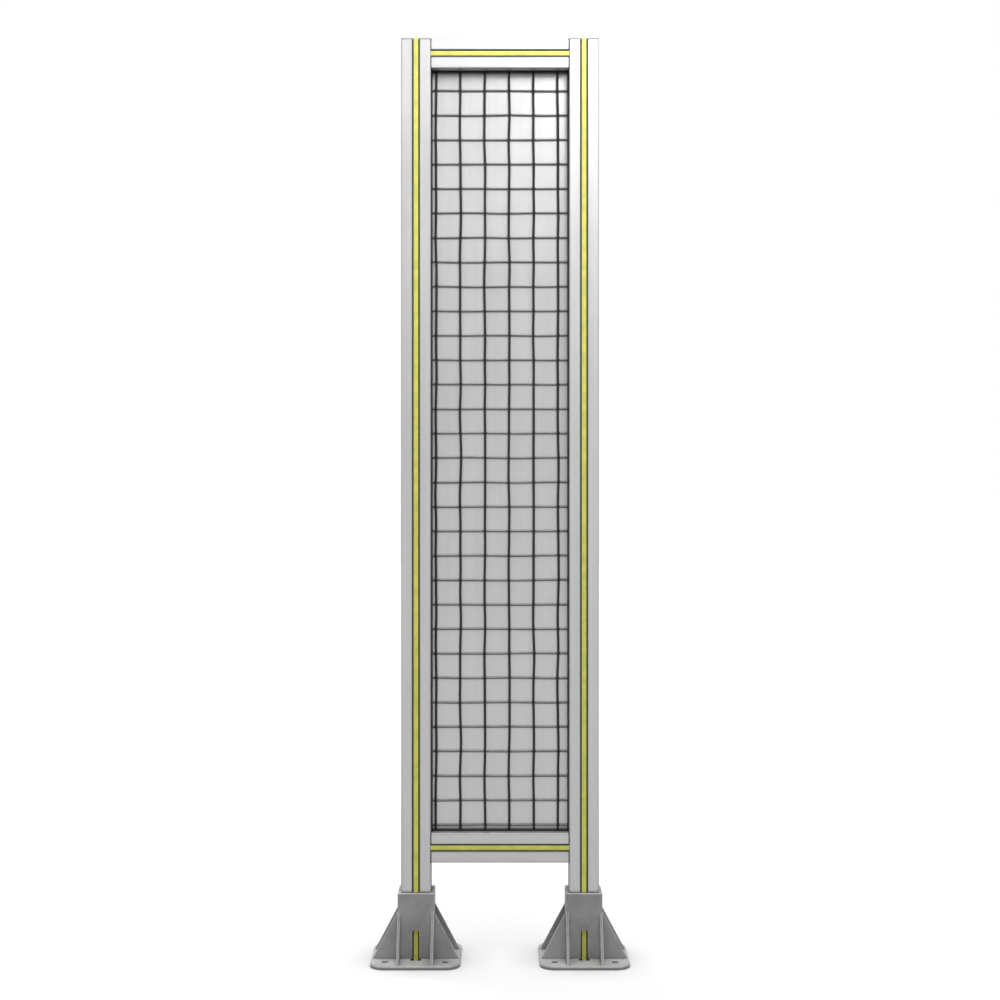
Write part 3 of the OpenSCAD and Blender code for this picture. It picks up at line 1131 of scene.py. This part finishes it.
@dataclass
class CoverStrip:
    """One cover strip: a rounded crown with a groove either side, a flange and two barbed legs."""

    node: str
    crown: float = 0.0036
    groove: float = 0.0013
    flange: float = 0.0047
    leg: float = 0.0034
    catch: float = 0.0043
    barb: float = 0.0058
    tip: float = 0.0041
    barb_height: float = 0.0022
    flange_height: float = 0.0008
    flange_step: float = 0.00002
    barb_step: float = 0.00005
    rounding: float = 0.0006

    def _facing(self) -> Vector:
        """Works out the way the strip's crown looks, from its name.

        Returns:
            The way, as a unit vector.
        """
        ways = {
            "front": Vector((0.0, -1.0, 0.0)),
            "back": Vector((0.0, 1.0, 0.0)),
            "upper": Vector((0.0, 0.0, 1.0)),
            "under": Vector((0.0, 0.0, -1.0)),
        }
        outward = Vector((-1.0 if "_left_" in self.node else 1.0, 0.0, 0.0))
        ways.update({"outer": outward, "inner": -outward})
        return ways[self.node.rsplit("_", 1)[1]]

    def _pick_backs(self, strip: bpy.types.Object, depth: float, beyond: float) -> None:
        """Selects faces that look back, in edit mode.

        Args:
            strip: The strip that is open.
            depth: Where the faces lie.
            beyond: How far their middles are from the strip's middle, at least.
        """

        def looks_back(middle: Vector, normal: Vector) -> bool:
            """Says whether a face is one of them."""
            return normal.y > ALONG and abs(middle.y - depth) < SAME and abs(middle.x) >= beyond

        Bench.aim("FACE")
        Bench.pick_faces(strip, looks_back)

    def _draw_out(self, strip: bpy.types.Object, depth: float, height: float, beyond: float = 0.0) -> float:
        """Draws out the faces that look back, or only those of the legs.

        Args:
            strip: The strip that is open.
            depth: Where the faces lie.
            height: How far they are drawn out.
            beyond: How far their middles are from the strip's middle, at least.
        Returns:
            The depth where they lie now.
        """
        self._pick_backs(strip, depth, beyond)
        bpy.ops.mesh.extrude_region_move(TRANSFORM_OT_translate={"value": (0.0, height, 0.0)})
        return depth + height

    def _widen(self, strip: bpy.types.Object, depth: float, reach: float, new_reach: float) -> None:
        """Moves long edges in or out.

        Args:
            strip: The strip that is open.
            depth: Where the edges lie.
            reach: How far they are from the strip's middle.
            new_reach: How far they will be.
        """

        def is_flank(middle: Vector, way: Vector) -> bool:
            """Says whether an edge is one of them."""
            at_reach = abs(abs(middle.x) - reach) < SAME
            return abs(way.z) > ALONG and abs(middle.y - depth) < SAME and at_reach

        Bench.aim("EDGE")
        Bench.pick_edges(strip, is_flank)
        bpy.ops.transform.resize(value=(new_reach / reach, 1.0, 1.0), center_override=(0.0, 0.0, 0.0))

    def _round_crown(self, strip: bpy.types.Object) -> None:
        """Rounds both long edges of the crown, in edit mode.

        Args:
            strip: The strip that is open.
        """

        def is_rim(middle: Vector, way: Vector) -> bool:
            """Says whether an edge is one of them."""
            return abs(way.z) > ALONG and middle.y < SAME and abs(abs(middle.x) - self.crown) < SAME

        bpy.ops.mesh.select_all(action="DESELECT")
        Bench.pick_edges(strip, is_rim)
        bpy.ops.mesh.bevel(offset=self.rounding, segments=4, profile=0.5, affect="EDGES")

    def build(self, finish: bpy.types.Material) -> bpy.types.Object:
        """Models the strip upright with its crown towards -Y, then lays it in its slot.

        Args:
            finish: The plastic of its run.
        Returns:
            The finished strip.
        """
        low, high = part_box(self.node)
        level = "rail_" in self.node
        length = high.x - low.x if level else high.z - low.z
        Bench.clear()
        bpy.ops.mesh.primitive_cube_add(size=1.0, location=(0.0, self.groove / 2, 0.0))
        strip = bpy.context.object
        strip.scale = (self.crown * 2, self.groove, length)
        Bench.settle(strip)
        Bench.open(strip, "FACE")
        depth = self._draw_out(strip, self.groove, self.flange_step)
        self._widen(strip, depth, self.crown, self.flange)
        depth = self._draw_out(strip, depth, self.flange_height)
        for side in Side:
            self._pick_backs(strip, depth, 0.0)
            bpy.ops.mesh.bisect(plane_co=(side.value * self.leg, 0.0, 0.0), plane_no=(1.0, 0.0, 0.0))
        self._draw_out(strip, depth, self.catch - depth, self.leg)
        depth = self._draw_out(strip, self.catch, self.barb_step, self.leg)
        self._widen(strip, depth, self.flange, self.barb)
        depth = self._draw_out(strip, depth, self.barb_height, self.leg)
        self._widen(strip, depth, self.barb, self.tip)
        self._round_crown(strip)
        Bench.face_out()
        self._lay(strip, level, low, high)
        Bench.smooth(strip, 35.0)
        dress(strip, finish)
        strip.name = f"cover_{self.node}"
        hand_over(strip, "strip", self.node)
        return strip

    def _lay(self, strip: bpy.types.Object, level: bool, low: Vector, high: Vector) -> None:
        """Turns the strip to its slot and puts its crown where the CAD strip's face lies.

        Args:
            strip: The strip, upright at the origin.
            level: Whether it lies along X.
            low: The CAD strip's lowest corner.
            high: The CAD strip's highest corner.
        """
        facing = self._facing()
        along = Vector(Run.LEVEL.value if level else Run.UPRIGHT.value)
        turn = Matrix((along.cross(facing), -facing, along)).transposed()
        seat = (low + high) / 2
        for axis in range(3):
            if facing[axis] > ALONG:
                seat[axis] = high[axis]
            elif facing[axis] < -ALONG:
                seat[axis] = low[axis]
        Bench.take([strip])
        strip.rotation_euler = turn.to_euler()
        strip.location = seat
        Bench.settle(strip)


@dataclass
class SlottedFrame:
    """Posts, rails and the cover strips in their open slots."""

    posts: tuple[str, ...] = ("post_left", "post_right")
    rails: tuple[str, ...] = ("rail_top", "rail_bottom")

    def build(self, effects: Effects) -> list[str]:
        """Finishes each post and rail, and models each cover strip.

        Args:
            effects: The shared node groups.
        Returns:
            The nodes and pieces that were finished.
        """
        metal = {run: SatinProfile(run).build(effects) for run in Run}
        plastic = {run: CoverPlastic(run).build(effects) for run in Run}
        done = []
        for name, node in sorted(frame["nodes"].items()):
            run = Run.LEVEL if "rail_" in name else Run.UPRIGHT
            if name in self.posts + self.rails:
                dress(node, metal[run])
                done.append(name)
            elif name.startswith("strip_"):
                done.append(CoverStrip(name).build(plastic[run]).name)
        return done


@dataclass
class Infill:
    """Welded wire mesh, the sheet behind it and the rubber that holds both."""

    wire: float = 0.0032
    upright_wire: float = 0.0035
    sides: int = 12
    step: float = 0.006
    upright_pitch: float = 0.0373
    upright_first: float = -0.0978
    upright_count: int = 6
    level_pitch: float = 0.03745
    level_first: float = 0.2029
    level_count: int = 31
    wander: float = 0.0024
    wander_length: float = 0.062
    level_share: float = 0.6
    weld_reach: float = 0.0026
    weld_depth: float = 0.0011
    ease_part: float = 9.0

    def _wire(self, name: str, centre: Vector, length: float, run: Run) -> bpy.types.Object:
        """Models one straight wire, with rings to bend at and eased ends.

        Args:
            name: The wire's name.
            centre: Its middle.
            length: Its length.
            run: The way it lies.
        Returns:
            The settled wire.
        """
        Bench.clear()
        turn = (0.0, math.pi / 2, 0.0) if run is Run.LEVEL else (0.0, 0.0, 0.0)
        thick = self.wire if run is Run.LEVEL else self.upright_wire
        bpy.ops.mesh.primitive_cylinder_add(
            vertices=self.sides, radius=thick / 2, depth=length, location=centre, rotation=turn
        )
        rod = bpy.context.object
        rod.name = name
        Bench.settle(rod)
        along = Vector(run.value)

        def is_flank(middle: Vector, way: Vector) -> bool:
            """Says whether an edge runs along the wire, between its eased ends."""
            return abs(way.dot(along)) > ALONG and abs((middle - centre).dot(along)) < length / 4

        Bench.open(rod, "FACE")
        Bench.pick_faces(rod, lambda middle, normal: abs(normal.dot(along)) > ALONG)
        bpy.ops.mesh.bevel(offset=self.wire / self.ease_part, segments=2, affect="EDGES")
        Bench.aim("EDGE")
        Bench.pick_edges(rod, is_flank)
        bpy.ops.mesh.subdivide(number_cuts=int(length / self.step))
        Bench.close()
        return rod

    def _weld(self, centre: Vector) -> bpy.types.Object:
        """Models one weld as a low bead between two crossing wires.

        Args:
            centre: Where the wires touch.
        Returns:
            The settled bead.
        """
        Bench.clear()
        bpy.ops.mesh.primitive_uv_sphere_add(
            segments=8, ring_count=5, radius=self.weld_reach, location=centre
        )
        bead = bpy.context.object
        bead.name = "weld"
        bead.scale = (1.0, self.weld_depth / self.weld_reach, 1.0)
        Bench.settle(bead)
        return bead

    def _waver(self, piece: bpy.types.Object, run: Run, direction: str) -> None:
        """Bends wires sideways by a slow, uneven wave.

        Args:
            piece: The wires or welds.
            run: Whose wave it is.
            direction: X or Z, the way they move.
        """
        name = f"{run.name.lower()}_waver"
        wave = bpy.data.textures.get(name) or bpy.data.textures.new(name, "CLOUDS")
        wave.noise_scale = self.wander_length
        wave.noise_depth = 0
        bend = piece.modifiers.new(name, "DISPLACE")
        bend.texture = wave
        bend.texture_coords = "LOCAL"
        bend.direction = direction
        bend.mid_level = 0.5
        bend.strength = self.wander if run is Run.UPRIGHT else self.wander * self.level_share

    def build_mesh(self, effects: Effects) -> bpy.types.Object:
        """Models, bends and joins every wire and weld.

        Args:
            effects: The shared node groups.
        Returns:
            The finished mesh.
        """
        low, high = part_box("mesh_infill")
        front_y = low.y + self.upright_wire / 2
        back_y = high.y - self.wire / 2
        middle = (low + high) / 2
        sideways = (self.upright_pitch, 0.0, 0.0)
        upwards = (0.0, 0.0, self.level_pitch)
        start = Vector((self.upright_first, front_y, middle.z))
        upright = self._wire("upright", start, high.z - low.z, Run.UPRIGHT)
        uprights = Bench.row(upright, self.upright_count, sideways)
        start = Vector((middle.x, back_y, self.level_first))
        level = self._wire("level", start, high.x - low.x, Run.LEVEL)
        levels = Bench.row(level, self.level_count, upwards)
        weld = self._weld(Vector((self.upright_first, (front_y + back_y) / 2, self.level_first)))
        welds = Bench.join(Bench.row(weld, self.upright_count, sideways), "weld_row")
        rows = Bench.row(welds, self.level_count, upwards)
        standing = Bench.join(uprights, "uprights")
        lying = Bench.join(levels, "levels")
        beads = Bench.join(rows, "welds")
        self._waver(standing, Run.UPRIGHT, "X")
        self._waver(lying, Run.LEVEL, "Z")
        self._waver(beads, Run.UPRIGHT, "X")
        self._waver(beads, Run.LEVEL, "Z")
        # The level wires get a far paler coat than the uprights: painted top light, a lit copy of the same
        # wire.
        dark = CoatedWire(Run.UPRIGHT, grey(0.009), grey(0.017)).build(effects)
        light = CoatedWire(Run.LEVEL, grey(0.140), grey(0.190)).build(effects)
        for part, coat in ((standing, dark), (lying, light), (beads, dark)):
            Bench.apply(part)
            dress(part, coat)
        mesh = Bench.join([standing, lying, beads], "welded_mesh")
        Bench.settle(mesh)
        Bench.smooth(mesh, 50.0)
        hand_over(mesh, "mesh", "mesh_infill")
        return mesh

    def dress(self, effects: Effects) -> list[str]:
        """Gives the sheet and the rubber their finishes.

        Args:
            effects: The shared node groups.
        Returns:
            The nodes that were dressed.
        """
        dress(frame["nodes"]["backing_sheet"], RolledSheet().build(effects))
        rubber = SealRubber().build(effects)
        seals = [name for name in sorted(frame["nodes"]) if name.startswith("gasket_")]
        for name in seals:
            dress(frame["nodes"][name], rubber)
        return ["backing_sheet", *seals]


@dataclass
class CastFoot:
    """A ribbed foot whose cast edges and corners are rounded."""

    side: Side
    rounding: float = 0.0009
    merge: float = 0.00001
    flat: float = 1.0
    sharp: float = 30.0

    def build(self, finish: bpy.types.Material) -> bpy.types.Object:
        """Models the rounded casting from the CAD foot.

        Args:
            finish: The casting's material.
        Returns:
            The finished foot.
        """
        name = f"foot_{self.side.name.lower()}"
        Bench.take([frame["nodes"][name]])
        bpy.ops.object.duplicate(linked=False)
        foot = bpy.context.object
        foot.name = f"cast_{name}"
        foot.data.name = foot.name
        foot.parent = None
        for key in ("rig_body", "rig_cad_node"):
            if key in foot:
                del foot[key]
        Bench.open(foot, "FACE")
        bpy.ops.mesh.select_all(action="SELECT")
        bpy.ops.mesh.remove_doubles(threshold=self.merge)
        bpy.ops.mesh.dissolve_limited(angle_limit=math.radians(self.flat))
        Bench.close()
        round_off = foot.modifiers.new("cast_rounding", "BEVEL")
        round_off.width = self.rounding
        round_off.segments = 3
        round_off.limit_method = "ANGLE"
        round_off.angle_limit = math.radians(self.sharp)
        round_off.miter_outer = "MITER_ARC"
        Bench.apply(foot)
        Bench.smooth(foot, 40.0)
        dress(foot, finish)
        hand_over(foot, "foot", name)
        return foot


@dataclass
class ClampSet:
    """Button-headed clamp screws with hexagon sockets, flat washers and slot nuts of one foot."""

    side: Side
    sides: int = 40
    head: float = 0.0070
    head_height: float = 0.0044
    shank: float = 0.0040
    key: float = 0.0025
    key_depth: float = 0.0026
    crown: float = 0.0022
    washer: float = 0.0090
    washer_bore: float = 0.0043
    washer_height: float = 0.0016
    ease: float = 0.0003
    slack: float = 0.0002

    def _name(self, kind: str) -> str:
        """Returns the CAD node's name for one kind of fastener."""
        return f"{kind}_{self.side.name.lower()}"

    def _turn_out(self, piece: bpy.types.Object, way: int, seat: Vector) -> None:
        """Turns a piece made along +Z to point along X, and puts its foot on its seat.

        Args:
            piece: The piece, made with its foot at the origin.
            way: 1 to point along +X and -1 along -X.
            seat: Where its foot lies.
        """
        Bench.take([piece])
        piece.rotation_euler = (0.0, way * math.pi / 2, 0.0)
        piece.location = seat
        Bench.settle(piece)

    def _screw(self, length: float) -> bpy.types.Object:
        """Models one screw upright, its head's underside at the origin.

        Args:
            length: The shank's length below the head.
        Returns:
            The screw.
        """
        Bench.clear()
        centre = (0.0, 0.0, self.head_height / 2)
        bpy.ops.mesh.primitive_cylinder_add(
            vertices=self.sides, radius=self.head, depth=self.head_height, location=centre
        )
        screw = bpy.context.object
        Bench.settle(screw)
        Bench.open(screw, "FACE")
        self._sink_key(screw)
        Bench.aim("FACE")
        Bench.pick_faces(screw, lambda middle, normal: middle.z < SAME and normal.z < -ALONG)
        bpy.ops.mesh.inset(thickness=self.head - self.shank)
        bpy.ops.mesh.extrude_region_move(TRANSFORM_OT_translate={"value": (0.0, 0.0, -length)})
        Bench.aim("EDGE")
        top = self.head_height - SAME
        rim = (self.head + self.head * math.cos(math.pi / self.sides)) / 2 - self.slack
        Bench.pick_edges(screw, lambda middle, way: middle.z > top and middle.xy.length > rim)
        bpy.ops.mesh.bevel(offset=self.crown, segments=6, profile=0.5, affect="EDGES")
        Bench.face_out()
        self._ease(screw)
        return screw

    def _sink_key(self, screw: bpy.types.Object) -> None:
        """Sinks the hexagon socket into a screw's head, in edit mode.

        Args:
            screw: The screw that is open.
        """
        top = self.head_height - SAME
        corner = self.key / math.cos(math.pi / 6)

        def lies_on_top(middle: Vector, way: Vector) -> bool:
            """Says whether an edge or face lies in the top of the head."""
            return middle.z > top and abs(way.z) < 1.0 - ALONG

        def is_hexagon(middle: Vector, way: Vector) -> bool:
            """Says whether an edge is one of the hexagon's sides."""
            return lies_on_top(middle, way) and middle.xy.length < self.key + self.slack / 2

        Bench.pick_faces(screw, lambda middle, normal: middle.z > top)
        bpy.ops.mesh.delete(type="ONLY_FACE")
        bpy.ops.mesh.primitive_circle_add(vertices=6, radius=corner, location=(0.0, 0.0, self.head_height))
        Bench.aim("EDGE")
        Bench.pick_edges(screw, lies_on_top)
        bpy.ops.mesh.bridge_edge_loops()
        Bench.aim("EDGE")
        Bench.pick_edges(screw, is_hexagon)
        bpy.ops.mesh.extrude_region_move(TRANSFORM_OT_translate={"value": (0.0, 0.0, -self.key_depth)})
        bpy.ops.mesh.edge_face_add()

    def _washer(self) -> bpy.types.Object:
        """Models one flat washer upright, its underside at the origin.

        Returns:
            The washer.
        """
        Bench.clear()
        centre = (0.0, 0.0, self.washer_height / 2)
        bpy.ops.mesh.primitive_cylinder_add(
            vertices=self.sides, radius=self.washer, depth=self.washer_height, location=centre
        )
        ring = bpy.context.object
        Bench.settle(ring)
        Bench.open(ring, "FACE")
        Bench.pick_faces(ring, lambda middle, normal: abs(normal.z) > ALONG)
        bpy.ops.mesh.inset(thickness=self.washer - self.washer_bore)
        bpy.ops.mesh.bridge_edge_loops()
        Bench.face_out()
        self._ease(ring)
        return ring

    def _ease(self, piece: bpy.types.Object) -> None:
        """Rounds a fastener's sharp edges and shades it smooth.

        Args:
            piece: The screw or washer.
        """
        easing = piece.modifiers.new("eased_edges", "BEVEL")
        easing.width = self.ease
        easing.segments = 2
        easing.limit_method = "ANGLE"
        easing.angle_limit = math.radians(40)
        Bench.apply(piece)
        Bench.smooth(piece, 35.0)

    def build(self, finish: bpy.types.Material) -> list[bpy.types.Object]:
        """Models the screws and washers, and dresses them and the slot nuts.

        Args:
            finish: The plated steel.
        Returns:
            The finished pieces and the nuts.
        """
        low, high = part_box(self._name("screws"))
        middle = (low + high) / 2
        screws, rings = [], []
        for way, end in ((-1, low.x), (1, high.x)):
            seat = end - way * self.head_height
            inner = middle.x + way * self._inner_reach()
            screw = self._screw(abs(seat - inner))
            self._turn_out(screw, way, Vector((seat, middle.y, middle.z)))
            screws.append(screw)
            ring = self._washer()
            self._turn_out(ring, way, Vector((seat - way * self.washer_height, middle.y, middle.z)))
            rings.append(ring)
        done = []
        for kind, parts in (("screws", screws), ("washers", rings)):
            whole = Bench.join(parts, f"clamp_{self._name(kind)}")
            Bench.settle(whole)
            dress(whole, finish)
            hand_over(whole, "fastener", self._name(kind))
            done.append(whole)
        nuts = frame["nodes"][self._name("slot_nuts")]
        dress(nuts, finish)
        return [*done, nuts]

    def _inner_reach(self) -> float:
        """Measures how far from the post's middle the CAD screws' inner ends lie.

        Returns:
            The distance.
        """
        node = frame["nodes"][self._name("screws")]
        middle = middle_of(self._name("screws"), 0)
        return min(abs(corner.co.x - middle) for corner in node.data.vertices)


# ---------------------------------------------------------------- studio


@dataclass
class Lamp:
    """A square soft lamp, unseen by the camera."""

    name: str
    place: Vector
    target: Vector
    size: float
    power: float
    cone: float = 180.0

    def hang(self) -> None:
        """Hangs the lamp and turns it to its target."""
        Bench.clear()
        bpy.ops.object.light_add(type="AREA", location=self.place)
        lamp = bpy.context.object
        lamp.name = self.name
        lamp.data.shape = "SQUARE"
        lamp.data.size = self.size
        lamp.data.energy = self.power
        lamp.data.spread = math.radians(self.cone)
        lamp.rotation_euler = (self.target - self.place).to_track_quat("-Z", "Y").to_euler()
        lamp.visible_camera = False


@dataclass
class Studio:
    """Pale floor, white surroundings, soft lamps and the camera."""

    floor_size: float = 30.0
    floor_colour: float = 0.32
    floor_glow: float = 0.58
    floor_unevenness: float = 0.02
    glow_start: float = 0.5
    glow_end: float = 2.2
    shadow_reach: float = 0.10
    shadow_depth: float = 1.5
    soft_light: float = 0.57
    lens: float = 57.7
    eye: Vector = field(default_factory=lambda: Vector((0.0, -2.4525, 0.700)))
    lamps: tuple[Lamp, ...] = (
        Lamp("key", Vector((0.72, -1.45, 2.25)), Vector((0.36, 0.0, 1.72)), 0.9, 6.1, 70.0),
        Lamp("top", Vector((0.0, -0.4, 3.2)), Vector((0.0, 0.0, 0.0)), 3.0, 108.0),
        Lamp("back", Vector((-1.4, 1.9, 2.7)), Vector((0.0, 0.0, 0.8)), 1.6, 32.0),
    )

    @staticmethod
    def _seen(wiring: Wiring) -> bpy.types.NodeSocket:
        """Tells the rays that show things from those that only light them.

        Args:
            wiring: The wiring of the floor or of the surroundings.
        Returns:
            1 for rays from the camera, off gloss and through glass, and 0 for the rest.
        """
        rays = wiring.add("ShaderNodeLightPath").outputs
        gloss = wiring.math("MAXIMUM", rays["Is Glossy Ray"], rays["Is Transmission Ray"])
        return wiring.math("MAXIMUM", rays["Is Camera Ray"], gloss)

    def lay_floor(self) -> bpy.types.Object:
        """Lays a pale floor that keeps shadows, with a painted contact shadow near the feet, and runs out to
        white.

        Returns:
            The floor.
        """
        Bench.clear()
        bpy.ops.mesh.primitive_plane_add(size=self.floor_size, location=(0.0, 0.0, 0.0))
        floor = bpy.context.object
        floor.name = "floor"
        material, wiring, shader, where = Finish.start("pale_floor")
        shader.inputs["Roughness"].default_value = 0.9
        shader.inputs["Specular IOR Level"].default_value = 0.0
        shader.inputs["Emission Strength"].default_value = 1.0
        cloud = wiring.noise(where, 1.5, 2.0)
        darker = self.floor_colour * (1.0 - self.floor_unevenness)
        paler = self.floor_colour * (1.0 + self.floor_unevenness)
        wiring.tint(shader, "Base Color", wiring.spread(cloud, 0.3, 0.7, darker, paler))
        # The glow seen by the camera is weaker near the panel so the real shadow shows, and falls further
        # where occlusion finds the feet: a painted contact shadow.
        reach = wiring.vector("LENGTH", where).outputs["Value"]
        rising = wiring.spread(reach, self.glow_start, self.glow_end, self.floor_glow, 1.0)
        feeds = {"Distance": self.shadow_reach}
        near = wiring.add("ShaderNodeAmbientOcclusion", feeds, samples=8).outputs["AO"]
        open_floor = wiring.math("POWER", near, self.shadow_depth)
        glow = wiring.math("MULTIPLY", wiring.math("MULTIPLY", rising, open_floor), self._seen(wiring))
        wiring.tint(shader, "Emission Color", glow)
        dress(floor, material)
        return floor

    def set_surroundings(self) -> None:
        """Makes the surroundings white to look at and soft as light."""
        world = bpy.data.worlds.new("white_room")
        bpy.context.scene.world = world
        world.use_nodes = True
        world.node_tree.nodes.clear()
        wiring = Wiring(world.node_tree)
        strength = wiring.math("MULTIPLY_ADD", self._seen(wiring), 1.0 - self.soft_light, self.soft_light)
        room = wiring.add("ShaderNodeBackground", {"Color": grey(1.0), "Strength": strength})
        wiring.add("ShaderNodeOutputWorld", {"Surface": room.outputs[0]})

    def set_camera(self) -> None:
        """Stands the camera before the panel, level, at half its height."""
        Bench.clear()
        bpy.ops.object.camera_add(location=self.eye, rotation=(math.pi / 2, 0.0, 0.0))
        camera = bpy.context.object
        camera.name = "camera"
        camera.data.lens = self.lens
        bpy.context.scene.camera = camera

    def build(self) -> None:
        """Sets the whole studio."""
        scene = bpy.context.scene
        scene.view_settings.view_transform = "Standard"
        self.set_camera()
        self.set_surroundings()
        self.lay_floor()
        for lamp in self.lamps:
            lamp.hang()


def main() -> None:
    """Builds and dresses the panel, and lights it."""
    logging.basicConfig(level=logging.INFO, format="%(name)s: %(message)s")
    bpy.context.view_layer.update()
    Studio().build()
    effects = Effects()
    log.info("frame: %s", ", ".join(SlottedFrame().build(effects)))
    infill = Infill()
    log.info("infill: %s", ", ".join(infill.dress(effects)))
    mesh = infill.build_mesh(effects)
    log.info("%s: %d faces", mesh.name, len(mesh.data.polygons))
    casting = CastSkin().build(effects)
    zinc = ZincPlate().build(effects)
    for side in Side:
        foot = CastFoot(side).build(casting)
        log.info("%s: %d faces", foot.name, len(foot.data.polygons))
        for piece in ClampSet(side).build(zinc):
            log.info("%s: %d faces", piece.name, len(piece.data.polygons))


if __name__ == "__main__":
    main()
